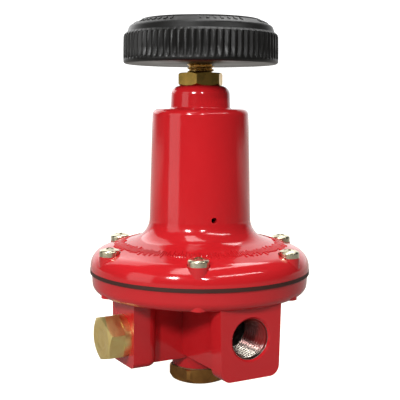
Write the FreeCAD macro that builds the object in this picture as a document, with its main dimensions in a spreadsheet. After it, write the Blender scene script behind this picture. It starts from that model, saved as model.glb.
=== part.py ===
import FreeCAD, Part
import math
import os
import re

import Sketcher
from FreeCAD import Placement, Rotation, Vector

# Diaphragm gas pressure regulator.
# Origin: centre of the bottom cap's underside. +Z runs up the main axis to the
# handwheel, -Y points out of the outlet port, +Y out of the inlet port and -X out
# of the plugged gauge port. All lengths are in millimetres.

SIZES = {
    # joint between the two castings
    "joint_height": 40.0,
    "flange_radius": 39.0,
    "diaphragm_thickness": 1.3,
    "chamber_radius": 27.5,
    "bolt_circle": 35.0,
    "screw_angle": 30.0,
    "screw_count": 6,
    # lower casting
    "column_bottom": 5.9,
    "column_radius": 9.7,
    "port_height": 22.1,
    "port_reach": 34.6,
    "port_pad_width": 23.4,
    "port_pad_bottom": 8.75,
    "port_pad_depth": 6.4,
    "port_corner": 3.6,
    "port_web_width": 20.8,
    "port_web_bottom": 11.2,
    "gauge_port_height": 19.2,
    "gauge_reach": 30.1,
    "gauge_pad_width": 18.0,
    "gauge_pad_depth": 9.6,
    "gauge_pad_bottom": 9.1,
    "gauge_corner": 2.2,
    "gauge_back_round": 3.5,
    "gauge_web_width": 12.4,
    "gauge_web_bottom": 9.8,
    "pad_draft": 0.6,
    "lower_rim": 38.5,
    "lower_flange_bottom": 32.8,
    "lower_flange_root": 29.6,
    "lower_rim_round": 3.4,
    "lower_boss_radius": 2.9,
    "lower_boss_bottom": 32.9,
    # ports, 1/4-18 NPT: wall at the thread's major diameter
    "port_bore_radius": 6.8,
    "port_bore_depth": 15.0,
    "port_mouth_chamfer": 0.7,
    "port_drill_radius": 4.4,
    "inlet_screen_radius": 5.5,
    "inlet_screen_thickness": 1.6,
    # valve chamber
    "valve_chamber_radius": 5.6,
    "valve_chamber_top": 28.0,
    "seat_bore_radius": 5.2,
    "chamber_floor": 34.0,
    "passage_radius": 2.4,
    "passage_offset": 18.0,
    "cap_thread_radius": 7.9,
    "cap_thread_top": 15.6,
    # bonnet
    "slope_angle": 17.5,
    "slope_height": 46.3,
    "rim_round": 6.4,
    "neck_radius": 18.1,
    "neck_round": 7.5,
    "tower_top_radius": 16.85,
    "shoulder_height": 96.9,
    "shoulder_round": 2.2,
    "boss_root_radius": 10.55,
    "boss_top_radius": 10.15,
    "boss_height": 105.0,
    "boss_round": 3.2,
    "cavity_radius": 14.6,
    "cavity_top_radius": 13.5,
    "cavity_top": 92.0,
    "vent_radius": 0.95,
    "vent_height": 59.5,
    "vent_angle": -13.8,
    "screw_seat": 47.2,
    "screw_boss_radius": 3.6,
    # bonnet screws, pan head
    "screw_radius": 2.1,
    "screw_tip": 34.2,
    "screw_head_radius": 3.45,
    "screw_head_height": 3.1,
    "screw_recess_width": 0.9,
    "screw_recess_length": 3.6,
    "screw_recess_depth": 1.3,
    # adjusting screw, lock nut and handwheel
    "stem_radius": 4.76,
    "nut_flats": 14.29,
    "nut_top": 109.4,
    "nut_turn": 51.0,
    "wheel_bottom": 112.4,
    "wheel_radius": 27.0,
    "wheel_rim_top": 122.4,
    "wheel_shoulder_radius": 25.6,
    "wheel_shoulder_height": 123.2,
    "wheel_brow_radius": 24.9,
    "wheel_brow_height": 125.2,
    "wheel_crown_radius": 21.5,
    "wheel_crown_height": 127.0,
    "wheel_ring_inner": 13.5,
    "wheel_ring_outer": 21.0,
    "wheel_ring_height": 127.6,
    "flute_count": 72,
    "flute_radius": 0.62,
    "insert_radius": 6.6,
    "insert_bottom": 113.6,
    "insert_top": 122.0,
    "stem_top": 120.6,
    # bottom cap and gauge port plug
    "cap_flats": 19.05,
    "cap_head_height": 5.4,
    "cap_pocket_radius": 4.0,
    "cap_pocket_floor": 3.6,
    "cap_turn": 40.0,
    "plug_flats": 14.29,
    "plug_face": 38.4,
    "plug_hex_depth": 5.7,
    "plug_collar_radius": 7.3,
    "plug_turn": 45.0,
    # moving stack
    "button_top": 85.4,
    "button_bottom": 82.2,
    "button_radius": 12.6,
    "ball_radius": 2.8,
    "plate_radius": 19.0,
    "spring_coil_radius": 9.6,
    "spring_wire_radius": 1.3,
    "spring_turns": 8.5,
    "valve_spring_coil_radius": 3.1,
    "valve_spring_wire_radius": 0.35,
    "valve_spring_turns": 7.5,
    "poppet_bottom": 20.2,
    "poppet_flange": 21.6,
    "stem_foot": 37.4,
    "fit_gap": 0.05,
}

# how far each bonnet screw's cross recess happens to be turned, in degrees
SCREW_TURNS = [20, 65, 5, 40, 80, 30]

# the first screw's place, half a step round from the outlet; the others follow evenly
SCREW_SPOT = ("-bolt_circle * sin(screw_angle * 1 deg)", "-bolt_circle * cos(screw_angle * 1 deg)")

doc = FreeCAD.newDocument("regulator")
sheet = doc.addObject("Spreadsheet::Sheet", "Sizes")
for row, (alias, number) in enumerate(SIZES.items(), start=1):
    sheet.set(f"A{row}", alias)
    sheet.set(f"B{row}", str(number))
    sheet.setAlias(f"B{row}", alias)
doc.recompute()


def bound(expression):
    """The expression with every size name pointed at the sheet."""
    return re.sub(r"[a-z_]{3,}", lambda m: "Sizes." + m[0] if m[0] in SIZES else m[0], str(expression))


def worth(expression):
    """The expression's present number."""
    return float(sheet.evalExpression(bound(expression)))


def new_body(label):
    body = doc.addObject("PartDesign::Body", label)
    body.Label = label
    return body


def new_sketch(body, name, plane, offset="0"):
    """A sketch on one of the body's own origin planes, offset along its normal."""
    sketch = body.newObject("Sketcher::SketchObject", name)
    support = [part for part in body.Origin.OriginFeatures if part.Role == plane]
    sketch.AttachmentSupport = [(support[0], "")]
    sketch.MapMode = "FlatFace"
    sketch.setExpression("AttachmentOffset.Base.z", bound(offset))
    return sketch


def draw_polygon(sketch, corners):
    """A closed outline whose corners are (x, y) pairs of size expressions."""
    places = [Vector(worth(x), worth(y), 0) for x, y in corners]
    count = len(places)
    for here in range(count):
        sketch.addGeometry(Part.LineSegment(places[here], places[(here + 1) % count]))
    for here in range(count):
        sketch.addConstraint(Sketcher.Constraint("Coincident", here, 2, (here + 1) % count, 1))
    for here, (x, y) in enumerate(corners):
        for kind, text, number in (("DistanceX", x, places[here].x), ("DistanceY", y, places[here].y)):
            index = sketch.addConstraint(Sketcher.Constraint(kind, -1, 1, here, 1, number))
            sketch.setExpression(f"Constraints[{index}]", bound(text))


def draw_circle(sketch, x, y, radius):
    circle = sketch.addGeometry(Part.Circle(Vector(worth(x), worth(y), 0), Vector(0, 0, 1), worth(radius)))
    for kind, text in (("DistanceX", x), ("DistanceY", y)):
        index = sketch.addConstraint(Sketcher.Constraint(kind, -1, 1, circle, 3, worth(text)))
        sketch.setExpression(f"Constraints[{index}]", bound(text))
    index = sketch.addConstraint(Sketcher.Constraint("Radius", circle, worth(radius)))
    sketch.setExpression(f"Constraints[{index}]", bound(radius))


def revolve(body, name, corners, kind="Revolution"):
    """Turn an (radius, height) outline about the main axis, to add or (Groove) to cut."""
    sketch = new_sketch(body, name + "_profile", "XZ_Plane")
    draw_polygon(sketch, corners)
    feature = body.newObject("PartDesign::" + kind, name)
    feature.Profile = sketch
    feature.ReferenceAxis = (sketch, ["V_Axis"])
    feature.Angle = 360
    return feature


def pad(body, name, plane, corners, start, depth):
    """Raise an outline from the plane's offset start, along the plane's normal."""
    sketch = new_sketch(body, name + "_outline", plane, start)
    draw_polygon(sketch, corners)
    feature = body.newObject("PartDesign::Pad", name)
    feature.Profile = sketch
    feature.setExpression("Length", bound(depth))
    return feature


def drill(body, name, plane, x, y, radius, start, depth, along_normal=False):
    """Cut a round hole from the plane's offset start; the cut must remove something."""
    doc.recompute()
    before = body.Shape.Volume
    sketch = new_sketch(body, name + "_circle", plane, start)
    draw_circle(sketch, x, y, radius)
    feature = body.newObject("PartDesign::Pocket", name)
    feature.Profile = sketch
    feature.Reversed = along_normal
    feature.setExpression("Length", bound(depth))
    doc.recompute()
    if body.Shape.Volume > before - 0.01:
        raise RuntimeError(name + " cuts nothing")
    return feature


def cut_flats(body, name, flats, plane, start, depth, y="0", turn="0"):
    """Cut everything outside a hexagon of the given width across flats."""
    doc.recompute()
    before = body.Shape.Volume
    sketch = new_sketch(body, name + "_hexagon", plane, start)
    radius = f"({flats}) / (2 * cos(30 deg))"
    corners = []
    for side in range(6):
        angle = f"({60 * side} + {turn}) * 1 deg"
        corners.append((f"{radius} * cos({angle})", f"{y} + {radius} * sin({angle})"))
    draw_polygon(sketch, corners)
    draw_circle(sketch, "0", y, f"{flats}")
    feature = body.newObject("PartDesign::Pocket", name)
    feature.Profile = sketch
    feature.Reversed = True
    feature.setExpression("Length", bound(depth))
    doc.recompute()
    if body.Shape.Volume > before - 0.01:
        raise RuntimeError(name + " cuts nothing")


def ring_edges(shape, spots):
    """Names of the circular edges about the main axis at the given (radius, height) spots."""
    names = []
    for radius, height in spots:
        for index, edge in enumerate(shape.Edges, start=1):
            curve = edge.Curve
            if not isinstance(curve, Part.Circle):
                continue
            centre = curve.Center
            if math.hypot(centre.x, centre.y) > 0.01 or abs(centre.z - worth(height)) > 0.01:
                continue
            if abs(curve.Radius - worth(radius)) < 0.01:
                names.append(f"Edge{index}")
    return names


def round_edges(body, name, edges, radius, kind="Fillet"):
    """Round (or chamfer) edges of the body's present shape."""
    if not edges:
        raise RuntimeError(name + " found no edges")
    base = body.Tip
    feature = body.newObject("PartDesign::" + kind, name)
    feature.Base = (base, edges)
    feature.setExpression("Radius" if kind == "Fillet" else "Size", bound(radius))
    doc.recompute()
    return feature


def round_rings(body, name, spots, radius, kind="Fillet"):
    doc.recompute()
    return round_edges(body, name, ring_edges(body.Shape, spots), radius, kind)


def pattern_about_axis(body, name, feature, count):
    """Repeat a feature evenly about the main axis."""
    doc.recompute()
    pattern = body.newObject("PartDesign::PolarPattern", name)
    pattern.Originals = [feature]
    axis = [part for part in body.Origin.OriginFeatures if part.Role == "Z_Axis"]
    pattern.Axis = (axis[0], [""])
    pattern.Angle = 360
    pattern.setExpression("Occurrences", bound(count))
    body.Tip = pattern
    doc.recompute()
    return pattern


def turned(label, corners):
    """A piece that is one outline turned about the main axis."""
    body = new_body(label)
    revolve(body, label + "_turning", corners)
    return body


def lower_edges(shape, axis, half_width, height):
    """Edges that run along the axis at a pad's two bottom corners."""
    names = []
    for index, edge in enumerate(shape.Edges, start=1):
        if len(edge.Vertexes) != 2 or not isinstance(edge.Curve, Part.Line):
            continue
        run = edge.Vertexes[1].Point - edge.Vertexes[0].Point
        if abs(abs(run.normalize().dot(axis)) - 1) > 0.001:
            continue
        middle = edge.CenterOfMass
        sideways = middle.x if axis.y else middle.y
        if abs(abs(sideways) - worth(half_width)) < 0.01 and abs(middle.z - worth(height)) < 0.01:
            names.append(f"Edge{index}")
    return names


def back_edges(shape):
    """Names of the edges round the gauge pad's back face, below the flange."""
    names = []
    for index, edge in enumerate(shape.Edges, start=1):
        on_back = all(abs(end.X - worth("gauge_pad_depth - gauge_reach")) < 0.01 for end in edge.Vertexes)
        if on_back and edge.CenterOfMass.z < worth("lower_flange_root") and len(edge.Vertexes) == 2:
            names.append(f"Edge{index}")
    return names


def mouth_edge(shape, centre):
    """Name of the port bore's circular edge that lies about the given centre."""
    for index, edge in enumerate(shape.Edges, start=1):
        if isinstance(edge.Curve, Part.Circle) and (edge.Curve.Center - centre).Length < 0.01:
            return f"Edge{index}"
    raise RuntimeError("no port mouth there")


def tapered_outline(width, bottom, top):
    """A pad's outline: slightly narrower at the bottom than at the top."""
    return [
        (f"-({width}) / 2 + pad_draft", bottom),
        (f"({width}) / 2 - pad_draft", bottom),
        (f"({width}) / 2", top),
        (f"-({width}) / 2", top),
    ]


def make_body():
    body = new_body("body")
    half_joint = "diaphragm_thickness / 2"
    revolve(body, "bowl", [
        ("0", "column_bottom"),
        ("column_radius", "column_bottom"),
        ("column_radius + 0.6", "lower_flange_root"),
        ("lower_rim - 0.5", "lower_flange_bottom"),
        ("lower_rim", f"joint_height - {half_joint}"),
        ("0", f"joint_height - {half_joint}"),
    ])
    round_rings(body, "rim_rounding", [("lower_rim - 0.5", "lower_flange_bottom")], "lower_rim_round")
    in_flange = "lower_flange_bottom + 1"
    pad(body, "outlet_pad", "XZ_Plane", tapered_outline("port_pad_width", "port_pad_bottom", in_flange),
        "port_reach - port_pad_depth", "port_pad_depth")
    pad(body, "inlet_pad", "XZ_Plane", tapered_outline("port_pad_width", "port_pad_bottom", in_flange),
        "-port_reach", "port_pad_depth")
    pad(body, "gauge_pad", "YZ_Plane", tapered_outline("gauge_pad_width", "gauge_pad_bottom", in_flange),
        "-gauge_reach", "gauge_pad_depth")
    doc.recompute()
    corners = lower_edges(body.Shape, Vector(0, 1, 0), "port_pad_width / 2 - pad_draft", "port_pad_bottom")
    round_edges(body, "port_pad_corners", corners, "port_corner")
    corners = lower_edges(body.Shape, Vector(1, 0, 0), "gauge_pad_width / 2 - pad_draft", "gauge_pad_bottom")
    round_edges(body, "gauge_pad_corners", corners, "gauge_corner")
    round_edges(body, "gauge_pad_back", back_edges(body.Shape), "gauge_back_round")
    # the web that joins the two ports, and the one out to the gauge port
    pad(body, "port_web", "XZ_Plane", tapered_outline("port_web_width", "port_web_bottom", in_flange),
        "-(port_reach - port_pad_depth + 0.5)", "2 * (port_reach - port_pad_depth + 0.5)")
    pad(body, "gauge_web", "YZ_Plane", tapered_outline("gauge_web_width", "gauge_web_bottom", in_flange),
        "-(gauge_reach - gauge_pad_depth + 0.5)", "gauge_reach - gauge_pad_depth")
    # the six screw bosses under the rim, and their holes
    boss = new_sketch(body, "boss_circle", "XY_Plane", "lower_boss_bottom")
    draw_circle(boss, *SCREW_SPOT, "lower_boss_radius")
    bosses = body.newObject("PartDesign::Pad", "screw_boss")
    bosses.Profile = boss
    bosses.setExpression("Length", bound("lower_flange_bottom - lower_boss_bottom + 3"))
    pattern_about_axis(body, "screw_bosses", bosses, "screw_count")
    bore_body(body)
    return [body]


def bore_body(body):
    """The lower casting's bores: diaphragm chamber, valve chamber, ports and passages."""
    half_joint = "diaphragm_thickness / 2"
    doc.recompute()
    revolve(body, "diaphragm_chamber", [
        ("0", "chamber_floor"),
        ("chamber_radius - 9", "chamber_floor"),
        ("chamber_radius", "chamber_floor + 2.6"),
        ("chamber_radius", f"joint_height - {half_joint} + 1"),
        ("0", f"joint_height - {half_joint} + 1"),
    ], "Groove")
    revolve(body, "valve_chamber", [
        ("0", "column_bottom - 1"),
        ("cap_thread_radius", "column_bottom - 1"),
        ("cap_thread_radius", "cap_thread_top"),
        ("valve_chamber_radius", "cap_thread_top"),
        ("valve_chamber_radius", "valve_chamber_top"),
        ("seat_bore_radius", "valve_chamber_top"),
        ("seat_bore_radius", "chamber_floor + 1"),
        ("0", "chamber_floor + 1"),
    ], "Groove")
    for side, face, out in (("outlet", "port_reach", False), ("inlet", "-port_reach", True)):
        drill(body, side + "_thread", "XZ_Plane", "0", "port_height", "port_bore_radius",
              face, "port_bore_depth", out)
    drill(body, "screen_pocket", "XZ_Plane", "0", "port_height", "inlet_screen_radius + fit_gap",
          "-port_reach", "port_bore_depth + inlet_screen_thickness", True)
    # the inlet runs into the valve chamber, the outlet up into the diaphragm chamber
    drill(body, "inlet_drill", "XZ_Plane", "0", "port_height", "port_drill_radius",
          "-port_reach", "port_reach - valve_chamber_radius + 1.5", True)
    drill(body, "outlet_drill", "XZ_Plane", "0", "port_height", "port_drill_radius",
          "port_reach", "port_bore_depth + 3")
    drill(body, "outlet_passage", "XY_Plane", "0", "-passage_offset", "passage_radius",
          "chamber_floor + 1", "chamber_floor + 1 - port_height")
    drill(body, "gauge_thread", "YZ_Plane", "0", "gauge_port_height", "port_bore_radius",
          "-gauge_reach", "gauge_pad_depth - 0.6", True)
    drill(body, "gauge_drill", "YZ_Plane", "0", "gauge_port_height", "passage_radius + 0.8",
          "-gauge_reach", "gauge_reach - passage_offset + 4", True)
    drill(body, "gauge_passage", "XY_Plane", "-passage_offset", "0", "passage_radius",
          "chamber_floor + 1", "chamber_floor + 1 - gauge_port_height")
    doc.recompute()
    hole = drill(body, "screw_hole", "XY_Plane", *SCREW_SPOT, "screw_radius + fit_gap",
                 "joint_height", "joint_height - screw_tip + 0.3")
    pattern_about_axis(body, "screw_holes", hole, "screw_count")
    mouths = [mouth_edge(body.Shape, Vector(0, side * worth("port_reach"), worth("port_height")))
              for side in (-1, 1)]
    round_edges(body, "port_mouths", mouths, "port_mouth_chamfer", "Chamfer")


def make_bonnet():
    """Upper casting: domed flange, tapered spring tower and threaded boss."""
    body = new_body("bonnet")
    joint = "joint_height + diaphragm_thickness / 2"
    slope_rise = "(flange_radius - 0.2 - neck_radius) * tan(slope_angle * 1 deg)"
    revolve(body, "shell", [
        ("0", joint),
        ("flange_radius - 0.1", joint),
        ("flange_radius - 0.2", "slope_height"),
        ("neck_radius", f"slope_height + {slope_rise}"),
        ("tower_top_radius", "shoulder_height"),
        ("boss_root_radius", "shoulder_height"),
        ("boss_top_radius", "boss_height"),
        ("0", "boss_height"),
    ])
    round_rings(body, "rim_rounding", [("flange_radius - 0.2", "slope_height")], "rim_round")
    round_rings(body, "neck_rounding", [("neck_radius", f"slope_height + {slope_rise}")], "neck_round")
    round_rings(body, "shoulder_rounding", [("tower_top_radius", "shoulder_height")], "shoulder_round")
    round_rings(body, "boss_rounding", [("boss_top_radius", "boss_height")], "boss_round")
    round_rings(body, "boss_root_rounding", [("boss_root_radius", "shoulder_height")], "0.7")
    outline = new_sketch(body, "screw_boss_circle", "XY_Plane", "joint_height + 2")
    draw_circle(outline, *SCREW_SPOT, "screw_boss_radius")
    boss = body.newObject("PartDesign::Pad", "screw_boss")
    boss.Profile = outline
    boss.setExpression("Length", bound("screw_seat - joint_height - 2"))
    pattern_about_axis(body, "screw_bosses", boss, "screw_count")
    revolve(body, "spring_cavity", [
        ("0", f"{joint} - 1"),
        ("chamber_radius", f"{joint} - 1"),
        ("chamber_radius", f"{joint} + 2"),
        ("cavity_radius + 4.5", "screw_seat"),
        ("cavity_radius", "screw_seat + 7"),
        ("cavity_top_radius", "cavity_top"),
        ("stem_radius + fit_gap", "cavity_top"),
        ("stem_radius + fit_gap", "boss_height + 1"),
        ("0", "boss_height + 1"),
    ], "Groove")
    # flat seats for the screw heads, cut down where the slope stands higher
    seat = drill(body, "screw_seat_cut", "XY_Plane", *SCREW_SPOT, "screw_boss_radius + 0.1",
                 "screw_seat + 6", "6")
    pattern_about_axis(body, "screw_seats", seat, "screw_count")
    hole = drill(body, "screw_hole", "XY_Plane", *SCREW_SPOT, "screw_radius + 0.2",
                 "screw_seat + 1", "screw_seat + 2 - joint_height")
    pattern_about_axis(body, "screw_holes", hole, "screw_count")
    make_vent(body)
    return [body]


def make_vent(body):
    """The breather hole, level through the tower's wall, a little to one side of the outlet."""
    doc.recompute()
    before = body.Shape.Volume
    sketch = new_sketch(body, "vent_circle", "XZ_Plane")
    sketch.AttachmentOffset = Placement(Vector(0, 0, 0), Rotation(Vector(0, 1, 0), worth("vent_angle")))
    sketch.setExpression("AttachmentOffset.Rotation.Angle", bound("vent_angle"))
    draw_circle(sketch, "0", "vent_height", "vent_radius")
    vent = body.newObject("PartDesign::Pocket", "vent")
    vent.Profile = sketch
    vent.Reversed = True
    vent.setExpression("Length", bound("neck_radius + 4"))
    doc.recompute()
    if body.Shape.Volume > before - 1:
        raise RuntimeError("the vent cuts nothing")


def make_diaphragm():
    """Moulded rubber sheet: clamped rim, one raised fold, flat middle with a stem hole."""
    below = "joint_height - diaphragm_thickness / 2"
    above = "joint_height + diaphragm_thickness / 2"
    body = turned("diaphragm", [
        ("3.1", below), ("20.4", below), ("21.6", f"{below} + 1.6"), ("24.8", f"{below} + 1.6"),
        ("26", below), ("flange_radius", below), ("flange_radius", above), ("25.4", above),
        ("24.2", f"{above} + 1.6"), ("22.2", f"{above} + 1.6"), ("21", above), ("3.1", above),
    ])
    hole = drill(body, "diaphragm_screw_hole", "XY_Plane", *SCREW_SPOT, "screw_radius + 0.2",
                 "joint_height + 2", "4")
    pattern_about_axis(body, "diaphragm_screw_holes", hole, "screw_count")
    return [body]


def make_diaphragm_stack():
    """Plate, washer, stem and nut that clamp the diaphragm's middle."""
    below = "joint_height - diaphragm_thickness / 2"
    above = "joint_height + diaphragm_thickness / 2"
    plate = turned("diaphragm_plate", [
        ("3.1", above), ("plate_radius", above), ("plate_radius", f"{above} + 2.6"),
        ("plate_radius - 1.2", f"{above} + 2.6"), ("plate_radius - 1.2", f"{above} + 1.2"),
        ("7.6", f"{above} + 1.2"), ("7.6", f"{above} + 3.4"), ("3.1", f"{above} + 3.4"),
    ])
    washer = turned("diaphragm_washer", [
        ("3.1", f"{below} - 1.2"), ("15", f"{below} - 1.2"), ("15", below), ("3.1", below),
    ])
    stem = turned("diaphragm_stem", [
        ("0", "stem_foot"), ("4.6", "stem_foot"), ("4.6", f"{below} - 1.2"),
        ("3.05", f"{below} - 1.2"), ("3.05", f"{above} + 7.6"), ("0", f"{above} + 7.6"),
    ])
    nut = turned("diaphragm_nut", [
        ("3.1", f"{above} + 3.4"), ("5.2", f"{above} + 3.4"), ("5.8", f"{above} + 3.8"),
        ("5.8", f"{above} + 6.2"), ("5.2", f"{above} + 6.6"), ("3.1", f"{above} + 6.6"),
    ])
    cut_flats(nut, "diaphragm_nut_flats", "10", "XY_Plane", f"{above} + 3", "4")
    return [plate, washer, stem, nut]


def make_valve():
    """Seat with its gasket, and the poppet with its rubber disc and its pin."""
    under_head = "chamber_floor + 0.4"
    nozzle = "valve_chamber_top - 1.6"
    seat = turned("valve_seat", [
        ("2", nozzle), ("3", nozzle), ("3.4", "valve_chamber_top"),
        ("seat_bore_radius - fit_gap", "valve_chamber_top"),
        ("seat_bore_radius - fit_gap", under_head), ("7", under_head),
        ("7", f"{under_head} + 1.3"), ("2", f"{under_head} + 1.3"),
    ])
    cut_flats(seat, "valve_seat_flats", "12.7", "XY_Plane", under_head, "2")
    gasket = turned("valve_seat_gasket", [
        ("seat_bore_radius", "chamber_floor"), ("6.8", "chamber_floor"),
        ("6.8", under_head), ("seat_bore_radius", under_head),
    ])
    disc = turned("valve_disc", [
        ("1.25", f"{nozzle} - 1.4"), ("3.5", f"{nozzle} - 1.4"),
        ("3.5", f"{nozzle} - 0.05"), ("1.25", f"{nozzle} - 0.05"),
    ])
    poppet = turned("valve_poppet", [
        ("0", "poppet_bottom"), ("2.2", "poppet_bottom"), ("2.2", "poppet_flange"),
        ("5.2", "poppet_flange"), ("5.2", f"{nozzle} - 3"), ("4.4", f"{nozzle} - 2.3"),
        ("4.4", f"{nozzle} - 0.4"), ("3.55", f"{nozzle} - 0.4"), ("3.55", f"{nozzle} - 1.45"),
        ("1.25", f"{nozzle} - 1.45"), ("1.25", f"{nozzle} - 2.9"), ("0", f"{nozzle} - 2.9"),
    ])
    cut = drill(poppet, "poppet_flow_cut", "XY_Plane", "0", "-6.2", "2.4", "poppet_bottom", "6", True)
    pattern_about_axis(poppet, "poppet_flow_cuts", cut, "4")
    pin = turned("valve_pin", [
        ("0", f"{nozzle} - 2.85"), ("1.2", f"{nozzle} - 2.85"),
        ("1.2", "stem_foot - 0.05"), ("0", "stem_foot - 0.05"),
    ])
    return [seat, gasket, disc, poppet, pin]


def make_bottom_cap():
    cap = turned("bottom_cap", [
        ("0", "0"), ("8.2", "0"), ("9.9", "0.7"), ("10.7", "2"), ("10.7", "cap_head_height - 0.3"),
        ("10.4", "cap_head_height"), ("cap_thread_radius - fit_gap", "cap_head_height"),
        ("cap_thread_radius - fit_gap", "cap_thread_top - 0.6"),
        ("cap_pocket_radius", "cap_thread_top - 0.6"), ("cap_pocket_radius", "cap_pocket_floor"),
        ("0", "cap_pocket_floor"),
    ])
    cut_flats(cap, "bottom_cap_flats", "cap_flats", "XY_Plane", "-1", "cap_head_height + 1", turn="cap_turn")
    gasket = turned("bottom_cap_gasket", [
        ("cap_thread_radius", "cap_head_height"), ("9.3", "cap_head_height"),
        ("9.3", "column_bottom"), ("cap_thread_radius", "column_bottom"),
    ])
    return [cap, gasket]


def make_plug():
    """Brass hex plug of the gauge port, turned about its own level axis."""
    plug = new_body("gauge_port_plug")
    collar = "plug_face - plug_hex_depth"
    sketch = new_sketch(plug, "plug_profile", "XZ_Plane")
    half_corner = "plug_flats / (2 * cos(30 deg))"
    outline = [
        ("-(plug_face - 0.25)", "0"), ("-(plug_face - 0.25)", "plug_flats * 0.22"),
        ("-plug_face", "plug_flats * 0.28"), ("-plug_face", "plug_flats / 2 - 0.7"),
        ("-(plug_face - 0.75)", half_corner), (f"-({collar})", half_corner),
        (f"-({collar})", "plug_collar_radius"), ("-gauge_reach", "plug_collar_radius"),
        ("-gauge_reach", "port_bore_radius - fit_gap"),
        ("-(gauge_reach - gauge_pad_depth + 2)", "port_bore_radius - fit_gap"),
        ("-(gauge_reach - gauge_pad_depth + 1)", "port_bore_radius - 1"),
        ("-(gauge_reach - gauge_pad_depth + 1)", "0"),
    ]
    draw_polygon(sketch, [(x, f"gauge_port_height + {z}") for x, z in outline])
    turning = plug.newObject("PartDesign::Revolution", "plug_turning")
    turning.Profile = sketch
    height = worth("gauge_port_height")
    axis = sketch.addGeometry(Part.LineSegment(Vector(-10, height, 0), Vector(10, height, 0)), True)
    for end in (1, 2):
        level = Sketcher.Constraint("DistanceY", -1, 1, axis, end, worth("gauge_port_height"))
        sketch.setExpression(f"Constraints[{sketch.addConstraint(level)}]", bound("gauge_port_height"))
    turning.ReferenceAxis = (sketch, ["Axis0"])
    turning.Angle = 360
    cut_flats(plug, "plug_flats", "plug_flats", "YZ_Plane", "-(plug_face + 1)", "plug_hex_depth + 1",
              y="gauge_port_height", turn="plug_turn")
    return [plug]



def make_handwheel():
    """Fluted handwheel with its moulded-in brass insert, and the screw that holds it."""
    wheel = turned("handwheel", [
        ("stem_radius + fit_gap", "wheel_bottom"),
        ("wheel_radius", "wheel_bottom"),
        ("wheel_radius - 0.2", "wheel_rim_top"),
        ("wheel_shoulder_radius", "wheel_shoulder_height"),
        ("wheel_brow_radius", "wheel_brow_height"),
        ("wheel_crown_radius", "wheel_crown_height"),
        ("wheel_ring_outer", "wheel_crown_height"),
        ("wheel_ring_outer - 0.3", "wheel_ring_height"),
        ("wheel_ring_inner", "wheel_ring_height"),
        ("wheel_ring_inner - 0.6", "wheel_crown_height - 0.6"),
        ("5.6", "wheel_crown_height - 0.6"),
        ("5.6", "insert_top"),
        ("insert_radius", "insert_top"),
        ("insert_radius", "insert_bottom"),
        ("stem_radius + fit_gap", "insert_bottom"),
    ])
    round_rings(wheel, "wheel_brow_rounding", [("wheel_brow_radius", "wheel_brow_height")], "1.9")
    round_rings(wheel, "wheel_shoulder_rounding", [("wheel_shoulder_radius", "wheel_shoulder_height")], "0.4")
    round_rings(wheel, "wheel_bottom_rounding", [("wheel_radius", "wheel_bottom")], "0.9")
    flute = drill(wheel, "flute", "XY_Plane", "0", "-(wheel_radius + 0.1)", "flute_radius",
                  "wheel_rim_top - 0.3", "wheel_rim_top - wheel_bottom - 1.4")
    pattern_about_axis(wheel, "flutes", flute, "flute_count")
    insert = turned("handwheel_insert", [
        ("stem_radius + fit_gap", "insert_bottom"), ("insert_radius", "insert_bottom"),
        ("insert_radius", "insert_top"), ("stem_radius + fit_gap", "insert_top"),
    ])
    washer = turned("handwheel_washer", [
        ("2.2", "insert_top"), ("5.4", "insert_top"), ("5.4", "insert_top + 0.9"), ("2.2", "insert_top + 0.9"),
    ])
    screw = turned("handwheel_screw", [
        ("0", "insert_top - 8"), ("2.05", "insert_top - 8"), ("2.05", "insert_top + 0.9"),
        ("3.8", "insert_top + 0.9"), ("3.8", "insert_top + 2.2"), ("2.9", "insert_top + 3.3"),
        ("0", "insert_top + 3.5"),
    ])
    sketch = new_sketch(screw, "screwdriver_slot", "XY_Plane", "insert_top + 4")
    draw_polygon(sketch, [("-5", "-0.55"), ("5", "-0.55"), ("5", "0.55"), ("-5", "0.55")])
    slot = screw.newObject("PartDesign::Pocket", "slot")
    slot.Profile = sketch
    slot.setExpression("Length", bound("1.8"))
    return [wheel, insert, washer, screw]


def make_stem():
    """Adjusting screw with a tapped upper end, the lock nut, the ball and the spring button."""
    screw = turned("adjusting_screw", [
        ("0", "button_top + 2 * ball_radius - 1"), ("2.6", "button_top + 2 * ball_radius - 1"),
        ("stem_radius", "button_top + 2 * ball_radius + 1"), ("stem_radius", "stem_top"),
        ("2.1", "stem_top"), ("2.1", "stem_top - 8"), ("0", "stem_top - 8"),
    ])
    nut = turned("lock_nut", [
        ("stem_radius + fit_gap", "boss_height"), ("7.2", "boss_height"),
        ("nut_flats / (2 * cos(30 deg))", "boss_height + 0.6"),
        ("nut_flats / (2 * cos(30 deg))", "nut_top - 0.6"),
        ("7.2", "nut_top"), ("stem_radius + fit_gap", "nut_top"),
    ])
    cut_flats(nut, "lock_nut_flats", "nut_flats", "XY_Plane", "boss_height - 1", "nut_top - boss_height + 2",
              turn="nut_turn")
    button = turned("spring_button", [
        ("0", "button_bottom - 2"), ("7.4", "button_bottom - 2"), ("7.8", "button_bottom"),
        ("button_radius", "button_bottom"), ("button_radius", "button_top - 0.6"),
        ("4", "button_top + 0.6"), ("1.6", "button_top - 1"), ("0", "button_top - 1"),
    ])
    ball = doc.addObject("Part::Sphere", "thrust_ball")
    ball.Label = "thrust_ball"
    ball.setExpression("Radius", bound("ball_radius"))
    ball.setExpression("Placement.Base.z", bound("button_top - 1 + ball_radius"))
    return [screw, nut, button, ball]


def make_inlet_screen():
    """Woven strainer disc at the bottom of the inlet thread."""
    screen = new_body("inlet_screen")
    sketch = new_sketch(screen, "screen_circle", "XZ_Plane", "-(port_reach - port_bore_depth)")
    draw_circle(sketch, "0", "port_height", "inlet_screen_radius")
    disc = screen.newObject("PartDesign::Pad", "screen_disc")
    disc.Profile = sketch
    disc.setExpression("Length", bound("inlet_screen_thickness - 0.1"))
    return [screen]


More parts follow.
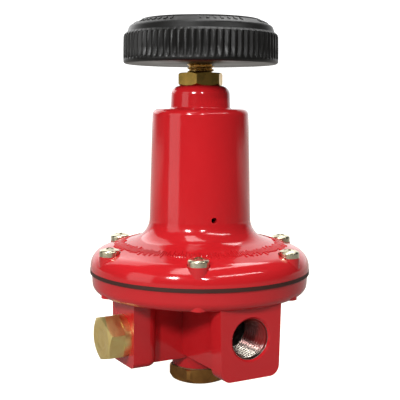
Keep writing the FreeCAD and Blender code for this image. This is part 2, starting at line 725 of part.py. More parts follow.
def make_spring(label, coil_radius, wire_radius, turns, bottom, top):
    """A round-wire coil between two heights; its wire just clears both seats."""
    helix = doc.addObject("Part::Helix", label + "_helix")
    length = f"({top}) - ({bottom}) - 2 * {wire_radius} - 0.1"
    helix.setExpression("Radius", bound(coil_radius))
    helix.setExpression("Height", bound(length))
    helix.setExpression("Pitch", bound(f"({length}) / {turns}"))
    wire = doc.addObject("Part::Circle", label + "_wire")
    wire.setExpression("Radius", bound(wire_radius))
    wire.Placement = Placement(Vector(0, 0, 0), Rotation(Vector(1, 0, 0), 90))
    wire.setExpression("Placement.Base.x", bound(coil_radius))
    doc.recompute()
    spring = doc.addObject("Part::Sweep", label)
    spring.Label = label
    spring.Sections = [wire]
    spring.Spine = (helix, [f"Edge{index + 1}" for index in range(len(helix.Shape.Edges))])
    spring.Solid = True
    spring.Frenet = True
    spring.setExpression("Placement.Base.z", bound(f"{bottom} + {wire_radius} + 0.05"))
    return [spring]


def make_bonnet_screws():
    """Six pan-head screws with cross recesses, one solid each, in one node."""
    screw = new_body("bonnet_screw")
    head_top = "screw_seat + screw_head_height"
    sketch = new_sketch(screw, "bonnet_screw_profile", "XZ_Plane")
    draw_polygon(sketch, [
        ("0", "screw_tip"), ("screw_radius - 0.5", "screw_tip"), ("screw_radius", "screw_tip + 0.8"),
        ("screw_radius", "screw_seat"), ("screw_head_radius", "screw_seat"),
        ("screw_head_radius", f"{head_top} - 1"), ("0", head_top),
    ])
    turning = screw.newObject("PartDesign::Revolution", "bonnet_screw_turning")
    turning.Profile = sketch
    turning.ReferenceAxis = (sketch, ["V_Axis"])
    turning.Angle = 360
    round_rings(screw, "screw_head_rounding", [("screw_head_radius", f"{head_top} - 1")], "0.8")
    long, short = "screw_recess_length / 2", "screw_recess_width / 2"
    for name, x, y in (("recess_slot_a", long, short), ("recess_slot_b", short, long)):
        outline = new_sketch(screw, name + "_outline", "XY_Plane", head_top)
        draw_polygon(outline, [(f"-{x}", f"-{y}"), (x, f"-{y}"), (x, y), (f"-{x}", y)])
        slot = screw.newObject("PartDesign::Pocket", name)
        slot.Profile = outline
        slot.setExpression("Length", bound("screw_recess_depth"))
    doc.recompute()
    count = int(worth("screw_count"))
    copies = []
    for place in range(count):
        angle = 360 / count * place - worth("screw_angle")
        spot = Rotation(Vector(0, 0, 1), angle).multVec(Vector(0, -worth("bolt_circle"), 0))
        turn = Rotation(Vector(0, 0, 1), SCREW_TURNS[place])
        copy = screw.Shape.copy()
        copy.Placement = Placement(spot, turn)
        copies.append(copy)
    screws = doc.addObject("Part::Feature", "bonnet_screws")
    screws.Label = "bonnet_screws"
    screws.Shape = Part.makeCompound(copies)
    return [screws]


def make_all():
    makers = [
        make_body, make_bottom_cap, make_plug, make_inlet_screen, make_valve,
        make_diaphragm, make_diaphragm_stack, make_bonnet, make_bonnet_screws, make_stem, make_handwheel,
    ]
    pieces = []
    for maker in makers:
        pieces += maker()
    pieces += make_spring("valve_spring", "valve_spring_coil_radius", "valve_spring_wire_radius",
                          "valve_spring_turns", "cap_pocket_floor", "poppet_flange")
    pieces += make_spring("adjusting_spring", "spring_coil_radius", "spring_wire_radius",
                          "spring_turns", "joint_height + diaphragm_thickness / 2 + 1.2", "button_bottom")
    return pieces


def check(pieces):
    """Stop before writing if any object failed or any piece isn't a sound solid."""
    doc.recompute()
    failed = [item.Name for item in doc.Objects if {"Invalid", "Error"} & set(item.State)]
    if failed:
        raise RuntimeError("failed objects: " + ", ".join(failed))
    for piece in pieces:
        shape = piece.Shape
        if shape.isNull() or not shape.isValid() or shape.Volume <= 0:
            raise RuntimeError(piece.Label + " is not a sound solid")


parts = make_all()
check(parts)
os.makedirs("parts", exist_ok=True)
for part in parts:
    part.Shape.exportStep(f"parts/{part.Label}.step")
print(len(parts), "pieces written")
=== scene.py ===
import math

import bpy
from mathutils import Matrix, Vector


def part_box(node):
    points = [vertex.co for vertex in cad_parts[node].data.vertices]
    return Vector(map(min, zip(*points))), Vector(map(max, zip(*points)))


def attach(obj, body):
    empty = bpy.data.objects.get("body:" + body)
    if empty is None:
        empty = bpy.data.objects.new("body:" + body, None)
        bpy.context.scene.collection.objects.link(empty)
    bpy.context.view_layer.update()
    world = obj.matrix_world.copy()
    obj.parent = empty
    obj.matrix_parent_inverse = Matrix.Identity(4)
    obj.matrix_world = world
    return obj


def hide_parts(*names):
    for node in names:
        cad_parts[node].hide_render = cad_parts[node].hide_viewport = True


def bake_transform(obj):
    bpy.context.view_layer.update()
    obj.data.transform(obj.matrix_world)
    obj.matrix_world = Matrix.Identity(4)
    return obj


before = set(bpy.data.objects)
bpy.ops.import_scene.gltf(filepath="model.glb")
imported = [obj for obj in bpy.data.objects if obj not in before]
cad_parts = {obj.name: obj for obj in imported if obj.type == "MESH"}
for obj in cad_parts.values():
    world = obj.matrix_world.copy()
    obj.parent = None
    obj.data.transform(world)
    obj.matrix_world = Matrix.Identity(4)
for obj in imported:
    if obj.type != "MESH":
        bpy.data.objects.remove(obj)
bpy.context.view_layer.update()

# Looks of a diaphragm gas regulator. Lengths are in millimetres until a mesh is made.
MM = 0.001
JOINT_HEIGHT = 40.0
FLANGE_RADIUS = 39.0
SLOPE_ANGLE = 17.5
SLOPE_HEIGHT = 46.3
PORT_HEIGHT = 22.1
PORT_REACH = 34.6
PORT_RADIUS = 6.8
PORT_DEPTH = 15.0
PORT_PITCH = 25.4 / 18
PORT_DRILL_RADIUS = 4.45
CHAMBER_RADIUS = 27.9
CHAMBER_FLOOR = 33.8
STEM_RADIUS = 4.76
STEM_PITCH = 1.27
WHEEL_RADIUS = 27.0
RIB_COUNT = 72
CAMERA_TURN = math.radians(-29.4)
CAMERA_PITCH = math.radians(6.17)
CAMERA_ROLL = math.radians(0.3227)
CAMERA_DISTANCE = 307.27
CAMERA_HEIGHT = 97.85
# level direction from the camera through the object
AWAY = (-math.sin(CAMERA_TURN), math.cos(CAMERA_TURN), 0)


# ---- mesh helpers ---------------------------------------------------------------------------

def make_piece(name, points, faces, body, material, smooth=True):
    """A mesh piece from points in millimetres, riding on a CAD body (None: left on no body)."""
    mesh = bpy.data.meshes.new(name)
    mesh.from_pydata([Vector(point) * MM for point in points], [], faces)
    mesh.validate()
    mesh.materials.append(material)
    piece = bpy.data.objects.new(name, mesh)
    bpy.context.scene.collection.objects.link(piece)
    mesh.polygons.foreach_set("use_smooth", [smooth] * len(mesh.polygons))
    if smooth:
        mesh.set_sharp_from_angle(angle=math.radians(38))
    if body:
        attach(piece, body)
    return piece


def rounded(corners, steps=5):
    """An outline of (radius, height, rounding) corners, each rounded by an arc of that radius."""
    outline = []
    count = len(corners)
    for here in range(count):
        point = Vector(corners[here][:2])
        rounding = corners[here][2]
        if not rounding:
            outline.append(point)
            continue
        before = (Vector(corners[here - 1][:2]) - point).normalized()
        after = (Vector(corners[(here + 1) % count][:2]) - point).normalized()
        half = before.angle(after) / 2
        centre = point + (before + after).normalized() * rounding / math.sin(half)
        start = point + before * rounding / math.tan(half) - centre
        finish = point + after * rounding / math.tan(half) - centre
        for step in range(steps + 1):
            blend = start.lerp(finish, step / steps)
            outline.append(centre + blend.normalized() * rounding)
    return outline


def lathe(outline, turns, radius_at=None):
    """Points and faces of a closed outline swept round the main axis through a list of angles."""
    points = []
    for angle, phase in turns:
        for place in outline:
            radius = radius_at(place, phase) if radius_at else place[0]
            points.append((radius * math.cos(angle), radius * math.sin(angle), place[1]))
    rows, columns = len(outline), len(turns)
    faces = []
    for column in range(columns):
        beside = (column + 1) % columns
        for row in range(rows):
            above = (row + 1) % rows
            faces.append((column * rows + row, beside * rows + row, beside * rows + above,
                          column * rows + above))
    return points, faces


def helix_wall(height_from, height_to, pitch, radius_at, around=48, rows_per_turn=8):
    """A screw-thread wall: a tube whose radius follows the thread's phase at each spot."""
    rows = int((height_to - height_from) / pitch * rows_per_turn) + 1
    points = []
    for row in range(rows + 1):
        height = height_from + (height_to - height_from) * row / rows
        for column in range(around):
            angle = 2 * math.pi * column / around
            phase = (height / pitch - angle / (2 * math.pi)) % 1.0
            radius = radius_at(phase, height)
            points.append((radius * math.cos(angle), radius * math.sin(angle), height))
    faces = []
    for row in range(rows):
        for column in range(around):
            beside = (column + 1) % around
            faces.append((row * around + column, row * around + beside,
                          (row + 1) * around + beside, (row + 1) * around + column))
    return points, faces


def close_rings(points, faces, rings, around, first_ring):
    """Carry the wall on through more (radius, height) rings, ending in a point on the axis."""
    last = first_ring
    for radius, height in rings:
        start = len(points)
        for column in range(around):
            angle = 2 * math.pi * column / around
            points.append((radius * math.cos(angle), radius * math.sin(angle), height))
        for column in range(around):
            beside = (column + 1) % around
            faces.append((last + column, last + beside, start + beside, start + column))
        last = start
    points.append((0, 0, rings[-1][1]))
    for column in range(around):
        faces.append((last + column, last + (column + 1) % around, len(points) - 1))


def tube_along(path, wire_radius, around=12):
    """A closed round wire along a list of points, with flat ends."""
    points, faces = [], []
    count = len(path)
    for index, place in enumerate(path):
        ahead = path[min(index + 1, count - 1)] - path[max(index - 1, 0)]
        ahead.normalize()
        outward = Vector((place.x, place.y, 0)).normalized()
        across = ahead.cross(outward).normalized()
        outward = across.cross(ahead)
        for step in range(around):
            angle = 2 * math.pi * step / around
            points.append(place + (outward * math.cos(angle) + across * math.sin(angle)) * wire_radius)
    for index in range(count - 1):
        for step in range(around):
            beside = (step + 1) % around
            faces.append((index * around + step, index * around + beside,
                          (index + 1) * around + beside, (index + 1) * around + step))
    faces.append(tuple(reversed(range(around))))
    faces.append(tuple(range((count - 1) * around, count * around)))
    return points, faces


# ---- materials ------------------------------------------------------------------------------

class Shade:
    """A procedural material, with short calls for the nodes that feed its shader."""

    def __init__(self, name, color, roughness, metallic=0.0):
        self.material = bpy.data.materials.new(name)
        self.material.use_nodes = True
        self.tree = self.material.node_tree
        self.shader = self.tree.nodes["Principled BSDF"]
        self.set("Base Color", (*color, 1))
        self.set("Roughness", roughness)
        self.set("Metallic", metallic)
        self.place = self.add("ShaderNodeTexCoord").outputs["Object"]

    def set(self, socket, value):
        self.shader.inputs[socket].default_value = value

    def add(self, kind, **inputs):
        node = self.tree.nodes.new(kind)
        for socket, value in inputs.items():
            self.feed(node.inputs[socket.replace("_", " ")], value)
        return node

    def feed(self, socket, value):
        if isinstance(value, bpy.types.NodeSocket):
            self.tree.links.new(value, socket)
        else:
            socket.default_value = value

    def noise(self, scale, detail=3.0, roughness=0.5):
        """Noise in the row frame; scale is in features per metre."""
        return self.add("ShaderNodeTexNoise", Vector=self.place, Scale=scale, Detail=detail,
                        Roughness=roughness).outputs["Fac"]

    def spread(self, value, low, high, out_low=0.0, out_high=1.0):
        """The value's low-to-high range spread over out_low to out_high."""
        node = self.tree.nodes.new("ShaderNodeMapRange")
        for socket, number in zip(node.inputs, (value, low, high, out_low, out_high)):
            self.feed(socket, number)
        return node.outputs["Result"]

    def maths(self, operation, first, second=0.0):
        node = self.tree.nodes.new("ShaderNodeMath")
        node.operation = operation
        self.feed(node.inputs[0], first)
        self.feed(node.inputs[1], second)
        return node.outputs[0]

    def mix(self, share, first, second):
        """A mix of two colours."""
        node = self.tree.nodes.new("ShaderNodeMix")
        node.data_type = "RGBA"
        self.feed(node.inputs[0], share)
        for socket, value in ((node.inputs[6], first), (node.inputs[7], second)):
            self.feed(socket, (*value, 1) if isinstance(value, tuple) else value)
        return node.outputs[2]

    def bump(self, layers):
        """Surface relief from (height, depth in millimetres) layers, one over another."""
        normal = None
        for height, depth in layers:
            node = self.add("ShaderNodeBump", Strength=1.0, Distance=depth * MM, Height=height)
            if normal:
                self.feed(node.inputs["Normal"], normal)
            normal = node.outputs["Normal"]
        self.feed(self.shader.inputs["Normal"], normal)

    def pointiness(self, low, high):
        """1 on sharp outer edges, 0 on flat stretches."""
        geometry = self.add("ShaderNodeNewGeometry")
        return self.spread(geometry.outputs["Pointiness"], low, high)

    def link(self, socket, value):
        self.feed(self.shader.inputs[socket], value)


def paint_color(shade, tone):
    """Slightly uneven red, a little deeper in patches."""
    patches = shade.spread(shade.noise(45, 2), 0.35, 0.65)
    return shade.mix(patches, tuple(part * 0.93 for part in tone), tone)


def red_paint(name, bare_mask=None):
    """Glossy enamel over a fine casting skin; bare machined metal where the mask is 1."""
    tone = (0.50, 0.012, 0.016)
    shade = Shade(name, tone, 0.12)
    color = paint_color(shade, tone)
    skin = shade.noise(900, 2)
    peel = shade.noise(170, 2)
    rough = shade.spread(shade.noise(260, 3), 0.3, 0.7, 0.09, 0.16)
    if bare_mask:
        bare = bare_mask(shade)
        turned = shade.spread(shade.noise(700, 4), 0.3, 0.7)
        metal = shade.mix(turned, (0.16, 0.15, 0.14), (0.30, 0.28, 0.26))
        color = shade.mix(bare, color, metal)
        shade.link("Metallic", bare)
        rough = shade.maths("ADD", rough, shade.maths("MULTIPLY", bare, 0.22))
    shade.link("Base Color", color)
    shade.link("Roughness", rough)
    shade.bump([(peel, 0.03), (skin, 0.004)])
    return shade.material


def body_bores(shade):
    """1 inside the lower casting's machined bores, worked out from the place alone."""
    split = shade.add("ShaderNodeSeparateXYZ", Vector=shade.place)
    x, y, z = split.outputs
    height = shade.maths("SUBTRACT", z, PORT_HEIGHT * MM)
    from_port = shade.maths("SQRT", shade.maths("ADD", shade.maths("MULTIPLY", x, x),
                                                shade.maths("MULTIPLY", height, height)))
    beyond = shade.maths("ABSOLUTE", y)
    in_mouth = shade.maths("MULTIPLY", shade.maths("LESS_THAN", from_port, (PORT_RADIUS + 0.05) * MM),
                           shade.maths("GREATER_THAN", beyond, (PORT_REACH - PORT_DEPTH - 0.1) * MM))
    in_drill = shade.maths("LESS_THAN", from_port, PORT_DRILL_RADIUS * MM)
    in_port = shade.maths("MAXIMUM", in_mouth, in_drill)
    below_face = shade.maths("LESS_THAN", beyond, (PORT_REACH - 0.6) * MM)
    from_axis = shade.maths("SQRT", shade.maths("ADD", shade.maths("MULTIPLY", x, x),
                                                shade.maths("MULTIPLY", y, y)))
    in_chamber = shade.maths("MULTIPLY", shade.maths("LESS_THAN", from_axis, CHAMBER_RADIUS * MM),
                             shade.maths("GREATER_THAN", z, CHAMBER_FLOOR * MM))
    on_joint = shade.maths("GREATER_THAN", z, (JOINT_HEIGHT - 0.68) * MM)
    port = shade.maths("MULTIPLY", in_port, below_face)
    return shade.maths("MAXIMUM", port, shade.maths("MAXIMUM", in_chamber, on_joint))


def worn_metal_and_edge_highlight(name, light, dark, roughness, grain=500, patch=130, depth=0.012):
    """Plated or turned metal: two tones in soft patches, a fine grain, and a painted highlight lightening the
    sharp edges.
    """
    shade = Shade(name, light, roughness, 1.0)
    patches = shade.spread(shade.noise(patch, 4, 0.6), 0.35, 0.65)
    color = shade.mix(patches, dark, light)
    # painted highlight: sharp edges lightened as if a bevel caught the light
    painted_edge_highlight = shade.pointiness(0.52, 0.6)
    color = shade.mix(shade.maths("MULTIPLY", painted_edge_highlight, 0.5), color, tuple(min(1, part * 1.35) for part in light))
    shade.link("Base Color", color)
    fine = shade.noise(grain, 4, 0.6)
    shade.link("Roughness", shade.spread(fine, 0.25, 0.75, roughness - 0.07, roughness + 0.09))
    shade.bump([(fine, depth)])
    return shade.material


def port_metal():
    """A tapped port: bright metal, turning dark red on the side away from the gauge port."""
    shade = Shade("bore_metal", (0.40, 0.37, 0.34), 0.24, 1.0)
    split = shade.add("ShaderNodeSeparateXYZ", Vector=shade.place)
    rise = shade.maths("MULTIPLY", shade.maths("SUBTRACT", split.outputs[2], PORT_HEIGHT * MM), 0.7)
    # dark red on the bore's side away from the gauge port, set by place alone
    reddened_side = shade.spread(shade.maths("ADD", split.outputs[0], rise), -0.001, 0.0035)
    metal = shade.mix(shade.spread(shade.noise(300, 4), 0.35, 0.65), (0.26, 0.23, 0.20), (0.48, 0.44, 0.38))
    shade.link("Base Color", shade.mix(reddened_side, metal, (0.20, 0.010, 0.009)))
    shade.link("Metallic", shade.maths("SUBTRACT", 1.0, reddened_side))
    return shade.material


def moulded(name, color, roughness, grain=1100, depth=0.01, gloss=0.5):
    """Moulded plastic or rubber with a faint sparked texture and handling marks."""
    shade = Shade(name, color, roughness)
    shade.set("Specular IOR Level", gloss)
    smears = shade.spread(shade.noise(90, 3), 0.3, 0.7)
    shade.link("Base Color", shade.mix(smears, color, tuple(part * 1.25 + 0.0008 for part in color)))
    shade.link("Roughness", shade.spread(smears, 0.0, 1.0, roughness - 0.05, roughness + 0.06))
    shade.bump([(shade.noise(grain, 3), depth)])
    return shade.material


def woven_screen():
    """Fine wire cloth: two crossing sets of bands."""
    shade = Shade("screen_cloth", (0.5, 0.5, 0.48), 0.4, 1.0)
    bands = []
    for direction in ("X", "Z"):
        wave = shade.add("ShaderNodeTexWave", Vector=shade.place, Scale=900.0, Distortion=0.0)
        wave.bands_direction = direction
        bands.append(wave.outputs["Fac"])
    weave = shade.maths("MULTIPLY", bands[0], bands[1])
    shade.link("Base Color", shade.mix(weave, (0.08, 0.08, 0.08), (0.62, 0.61, 0.58)))
    shade.bump([(weave, 0.08)])
    return shade.material


PAINT = red_paint("bonnet_enamel")
BODY_PAINT = red_paint("body_enamel", body_bores)
BLACK = moulded("wheel_plastic", (0.004, 0.0038, 0.0034), 0.40, depth=0.002, gloss=0.28)
PLUG_BRASS = worn_metal_and_edge_highlight("plug_brass", (0.94, 0.74, 0.31), (0.85, 0.62, 0.21), 0.38)
CAP_BRASS = worn_metal_and_edge_highlight("cap_brass", (0.56, 0.29, 0.08), (0.30, 0.14, 0.04), 0.34)
NUT_BRASS = worn_metal_and_edge_highlight("nut_brass", (0.54, 0.34, 0.08), (0.26, 0.19, 0.05), 0.33, patch=420)
STEM_METAL = worn_metal_and_edge_highlight("stem_gold", (0.82, 0.58, 0.24), (0.62, 0.38, 0.13), 0.26)
ZINC = worn_metal_and_edge_highlight("zinc_yellow", (0.74, 0.70, 0.54), (0.56, 0.50, 0.33), 0.27, patch=300)
STEEL = worn_metal_and_edge_highlight("bright_steel", (0.60, 0.60, 0.60), (0.46, 0.46, 0.47), 0.30)
SPRING_STEEL = worn_metal_and_edge_highlight("spring_steel", (0.20, 0.20, 0.21), (0.12, 0.12, 0.13), 0.38)
BORE_METAL = port_metal()
RUBBER = moulded("rubber", (0.040, 0.011, 0.008), 0.62, gloss=0.3)
FIBRE = moulded("fibre", (0.20, 0.09, 0.05), 0.75, 600, 0.03)

NODE_MATERIALS = {
    "body": BODY_PAINT, "bonnet": PAINT, "bonnet_screws": ZINC, "bottom_cap": CAP_BRASS,
    "bottom_cap_gasket": FIBRE, "gauge_port_plug": PLUG_BRASS, "inlet_screen": woven_screen(),
    "valve_seat": PLUG_BRASS, "valve_seat_gasket": FIBRE, "valve_poppet": PLUG_BRASS,
    "valve_disc": RUBBER, "valve_pin": STEEL, "diaphragm": RUBBER, "diaphragm_plate": STEEL,
    "diaphragm_washer": STEEL, "diaphragm_stem": PLUG_BRASS, "diaphragm_nut": ZINC,
    "spring_button": ZINC, "thrust_ball": STEEL, "lock_nut": NUT_BRASS,
    "handwheel_insert": PLUG_BRASS, "handwheel_washer": ZINC, "handwheel_screw": ZINC,
}


def dress_nodes():
    for node, material in NODE_MATERIALS.items():
        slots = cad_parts[node].material_slots
        for slot in slots:
            slot.material = material


# ---- pieces ---------------------------------------------------------------------------------

def make_wheel():
    """Handwheel with pointed flutes that run out above a plain lower rim."""
    low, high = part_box("handwheel")
    bottom, ring_top = low.z / MM, high.z / MM
    rim_top = ring_top - 5.2
    corners = [
        (STEM_RADIUS + 0.05, bottom, 0), (22.0, bottom, 0), (24.4, bottom, 0.4),
        (WHEEL_RADIUS, bottom, 0.9), (WHEEL_RADIUS, bottom + 1.4, 0),
        (WHEEL_RADIUS, bottom + 2.2, 0), (WHEEL_RADIUS, bottom + 5.0, 0),
        (WHEEL_RADIUS - 0.1, rim_top - 0.8, 0), (WHEEL_RADIUS - 0.35, rim_top, 0.3),
        (25.6, rim_top + 0.8, 0.3), (24.95, ring_top - 2.4, 1.6), (21.5, ring_top - 0.6, 0.25),
        (21.0, ring_top - 0.6, 0.1), (20.7, ring_top, 0.2), (13.5, ring_top, 0.2),
        (12.9, ring_top - 1.2, 0.3), (5.6, ring_top - 1.2, 0.2), (5.6, ring_top - 5.6, 0),
        (6.6, ring_top - 5.6, 0), (6.6, bottom + 1.2, 0), (STEM_RADIUS + 0.05, bottom + 1.2, 0),
    ]
    phases = (-0.5, -0.41, -0.3, -0.18, -0.11, 0.11, 0.18, 0.3, 0.41)
    turns = []
    for rib in range(RIB_COUNT):
        for phase in phases:
            turns.append((2 * math.pi * (rib + phase) / RIB_COUNT, phase))
    flute_depth, run_out = 0.75, 0.9

    def fluted(place, phase):
        rise = (place[1] - bottom - 1.4) / run_out
        opening = max(0.0, min(1.0, rise))
        valley = max(0.0, abs(phase) - 0.11) / 0.39
        limit = WHEEL_RADIUS - flute_depth * opening * valley ** 0.8
        return min(place[0], limit) if place[1] > bottom + 1.0 else place[0]

    points, faces = lathe(rounded(corners), turns, fluted)
    wheel = make_piece("wheel_shell", points, faces, "handwheel", BLACK)
    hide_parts("handwheel")
    return ring_top


def bar(outer, inner, angle, width, foot, height):
    """A small raised bar along a radius: (radius, height) feet at both ends, sloping sides."""
    across = Vector((-math.sin(angle), math.cos(angle), 0))
    points = []
    for side, lift, trim in ((1, -0.2, 0), (-1, -0.2, 0), (-1, height, 0.18), (1, height, 0.18)):
        for end, sign in ((outer, -1), (inner, 1)):
            radius = end + sign * trim
            centre = Vector((radius * math.cos(angle), radius * math.sin(angle), foot(radius) + lift))
            points.append(centre + across * side * (width / 2 - trim * 0.6))
    faces = [(0, 1, 3, 2), (2, 3, 5, 4), (4, 5, 7, 6), (6, 7, 1, 0), (0, 2, 4, 6), (1, 7, 5, 3)]
    return points, faces


def join_bars(bars):
    points, faces = [], []
    for bar_points, bar_faces in bars:
        shift = len(points)
        points += bar_points
        faces += [tuple(corner + shift for corner in face) for face in bar_faces]
    return points, faces


def make_wheel_marks(ring_top):
    """Plain raised ticks round the wheel's crown."""
    def crown(radius):
        return ring_top - 0.6 - (radius - 21.5) * 0.52
    bars = []
    for step in range(60):
        if step % 10 < 7:
            angle = 2 * math.pi * step / 60
            bars.append(bar(23.6, 21.9, angle, 1.1 if step % 2 else 0.7, crown, 0.28))
    points, faces = join_bars(bars)
    make_piece("wheel_ticks", points, faces, "handwheel", BLACK, smooth=False)


def make_flange_marks():
    """Plain raised ticks in a ring on the bonnet's slope, uneven in length."""
    slope = math.tan(math.radians(SLOPE_ANGLE))

    def surface(radius):
        return SLOPE_HEIGHT + (FLANGE_RADIUS - 0.2 - radius) * slope
    lengths = (1.0, 0.55, 0.8, 0.45, 0.9, 0.6, 0.75)
    bars = []
    for step in range(210):
        angle = 2 * math.pi * step / 210
        share = lengths[step % len(lengths)]
        middle = 28.6 + 0.5 * math.sin(step * 2.4)
        reach = 2.2 * share
        bars.append(bar(middle + reach, middle - reach, angle, 0.5, surface, 0.32))
    points, faces = join_bars(bars)
    make_piece("flange_ticks", points, faces, "housing", PAINT, smooth=False)


def make_stem():
    """Adjusting screw with a real rolled thread above and below the lock nut."""
    low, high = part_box("adjusting_screw")
    bottom, top = low.z / MM, high.z / MM
    depth = 0.62 * STEM_PITCH
    around = 64

    def radius_at(phase, height):
        flank = abs(2 * phase - 1)
        crest = min(1.0, max(0.0, (flank - 0.1) * 1.25))
        return STEM_RADIUS - 0.02 - depth * (1 - crest)
    points, faces = helix_wall(bottom + 2, top - 0.6, STEM_PITCH, radius_at, around, 16)
    upper = len(points) - around
    close_rings(points, faces, [(STEM_RADIUS - 0.9, top), (2.1, top), (2.1, top - 8)], around, upper)
    below = [(STEM_RADIUS - 0.9, bottom + 1.2), (2.6, bottom)]
    flipped = []
    close_rings(points, flipped, below, around, 0)
    faces += [tuple(reversed(face)) for face in flipped]
    stem = make_piece("stem_thread", points, faces, "handwheel", STEM_METAL)
    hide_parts("adjusting_screw")


def make_port_thread(name, outward):
    """Thread turns standing in from a port's wall; outward is -1 for the outlet, 1 for the inlet."""
    crest = 0.72
    inner = PORT_REACH - PORT_DEPTH + 0.6
    outer = PORT_REACH - 1.0
    around = 72
    wall = PORT_RADIUS - 0.02

    def radius_at(phase, height):
        flank = abs(2 * phase - 1)
        lift = min(1.0, max(0.0, (flank - 0.12) * 1.3))
        fade = min(1.0, (outer - height) / 1.6, (height - inner) / 1.0 + 0.2)
        return wall - 0.06 - crest * lift * max(0.0, fade)
    points, faces = helix_wall(inner, outer, PORT_PITCH, radius_at, around, 16)
    first_outer = len(points)
    rows = first_outer // around
    for radius, height in ((wall, outer), (wall, inner)):
        for column in range(around):
            angle = 2 * math.pi * column / around
            points.append((radius * math.cos(angle), radius * math.sin(angle), height))
    rings = [(rows - 1) * around, first_outer, first_outer + around, 0]
    for here, there in zip(rings, rings[1:]):
        for column in range(around):
            beside = (column + 1) % around
            faces.append((here + column, here + beside, there + beside, there + column))
    turn = Matrix.Rotation(math.radians(90 * -outward), 4, "X")
    lift = Matrix.Translation((0, 0, PORT_HEIGHT))
    placed = [lift @ turn @ Vector(point) for point in points]
    faces = [tuple(reversed(face)) for face in faces]
    make_piece(name, placed, faces, "housing", BORE_METAL)


def make_coil(name, node, coil_radius, wire_radius, turns, material):
    """A spring with closed, flat-lying end turns, stretched between two bodies."""
    low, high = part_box(node)
    bottom, top = low.z / MM + wire_radius, high.z / MM - wire_radius
    closed = 0.9
    steps_per_turn = 36
    steps = int(turns * steps_per_turn)
    dead_pitch = wire_radius * 2.05
    free_rise = (top - bottom) - 2 * closed * dead_pitch
    path = []
    for step in range(steps + 1):
        turned = step / steps_per_turn
        first = min(turned, closed)
        last = max(0.0, turned - (turns - closed))
        middle = turned - first - last
        rise = (first + last) * dead_pitch + free_rise * middle / (turns - 2 * closed)
        angle = 2 * math.pi * turned
        path.append(Vector((coil_radius * math.cos(angle), coil_radius * math.sin(angle), bottom + rise)))
    points, faces = tube_along(path, wire_radius)
    coil = make_piece(name, points, faces, None, material)
    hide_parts(node)
    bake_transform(coil)


# ---- camera, lights and floor ---------------------------------------------------------------

def make_camera():
    data = bpy.data.cameras.new("camera")
    data.lens = 78.17
    data.sensor_width = 36
    camera = bpy.data.objects.new("camera", data)
    turn = Matrix.Rotation(CAMERA_TURN, 4, "Z") @ Matrix.Rotation(math.pi / 2 - CAMERA_PITCH, 4, "X")
    turn = turn @ Matrix.Rotation(CAMERA_ROLL, 4, "Z")
    place = -Vector(AWAY) * CAMERA_DISTANCE * MM + Vector((0, 0, CAMERA_HEIGHT * MM))
    camera.matrix_world = Matrix.Translation(place) @ turn
    bpy.context.scene.collection.objects.link(camera)
    bpy.context.scene.camera = camera


def make_light(name, azimuth, elevation, distance, width, height, radiance, target=(0, 0, 0.06)):
    """A softbox that faces the object; azimuth 0 is beside the camera, positive to its right."""
    data = bpy.data.lights.new(name, "AREA")
    data.shape = "RECTANGLE"
    data.size, data.size_y = width, height
    data.energy = radiance * math.pi * width * height
    light = bpy.data.objects.new(name, data)
    angle = math.radians(azimuth) + CAMERA_TURN
    rise = math.radians(elevation)
    toward = Vector((math.sin(angle) * math.cos(rise), -math.cos(angle) * math.cos(rise), math.sin(rise)))
    light.location = Vector(target) + toward * distance
    light.rotation_euler = toward.to_track_quat("Z", "Y").to_euler()
    bpy.context.scene.collection.objects.link(light)


def make_floor():
    """Pale paper, bright in the picture; it lights the object only from behind."""
    mesh = bpy.data.meshes.new("floor")
    reach = 6.0
    mesh.from_pydata([(-reach, -reach, 0), (reach, -reach, 0), (reach, reach, 0), (-reach, reach, 0)],
                     [], [(0, 1, 2, 3)])
    shade = Shade("floor_paper", (0.22, 0.21, 0.20), 0.9)
    seen = shade.add("ShaderNodeLightPath").outputs["Is Camera Ray"]
    shade.set("Emission Color", (1.0, 0.95, 0.88, 1))
    along = shade.add("ShaderNodeVectorMath", Vector=shade.place)
    along.operation = "DOT_PRODUCT"
    along.inputs[1].default_value = AWAY
    behind = shade.spread(along.outputs["Value"], 0.05, 0.6, 0.04, 0.75)
    shade.link("Emission Strength", shade.maths("MAXIMUM", shade.maths("MULTIPLY", seen, 1.25), behind))
    mesh.materials.append(shade.material)
    floor = bpy.data.objects.new("floor", mesh)
    floor.location.z = -0.0002
    bpy.context.scene.collection.objects.link(floor)


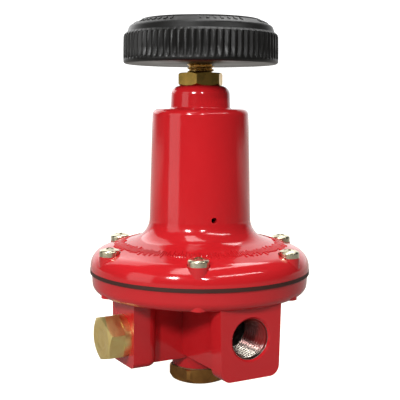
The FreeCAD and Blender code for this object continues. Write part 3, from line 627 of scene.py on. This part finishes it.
def make_world():
    """White behind the object and in the picture; dimmer from the front, as in a dark studio."""
    world = bpy.data.worlds.new("studio")
    world.use_nodes = True
    tree = world.node_tree
    background = tree.nodes["Background"]
    background.inputs["Color"].default_value = (1, 1, 1, 1)
    place = tree.nodes.new("ShaderNodeTexCoord")
    facing = tree.nodes.new("ShaderNodeVectorMath")
    facing.operation = "DOT_PRODUCT"
    facing.inputs[1].default_value = AWAY
    tree.links.new(place.outputs["Generated"], facing.inputs[0])
    fade = tree.nodes.new("ShaderNodeMapRange")
    for socket, number in zip(fade.inputs[1:], (0.55, 0.85, 0.05, 1.3)):
        socket.default_value = number
    tree.links.new(facing.outputs["Value"], fade.inputs["Value"])
    seen = tree.nodes.new("ShaderNodeLightPath")
    brighter = tree.nodes.new("ShaderNodeMath")
    brighter.operation = "MAXIMUM"
    tree.links.new(fade.outputs["Result"], brighter.inputs[0])
    tree.links.new(seen.outputs["Is Camera Ray"], brighter.inputs[1])
    tree.links.new(brighter.outputs[0], background.inputs["Strength"])
    bpy.context.scene.world = world
    bpy.context.scene.view_settings.view_transform = "Standard"


def make_lights():
    """Softboxes by (name, azimuth, elevation, width, length, radiance)."""
    for name, azimuth, elevation, width, length, radiance in (
            ("top_softbox", 153, 87, 0.22, 1.10, 6.0),
            ("back_left_softbox", -140, 35, 0.40, 0.50, 1.6),
            ("front_lamp", -27, 26, 0.08, 0.08, 120.0),
            ("front_lamp_small", 6, 25, 0.04, 0.04, 120.0),
            ("left_fill", -62, 12, 0.30, 0.40, 1.5),
            ("right_strip", 47, 40, 0.50, 0.03, 22.0)):
        make_light(name, azimuth, elevation, 0.6, width, length, radiance)


dress_nodes()
crown_top = make_wheel()
make_wheel_marks(crown_top)
make_flange_marks()
make_stem()
make_port_thread("outlet_thread", -1)
make_port_thread("inlet_thread", 1)
make_coil("range_spring_coil", "adjusting_spring", 9.6, 1.3, 8.5, SPRING_STEEL)
make_coil("valve_spring_coil", "valve_spring", 3.1, 0.35, 7.5, STEEL)
make_camera()
make_floor()
make_world()
make_lights()
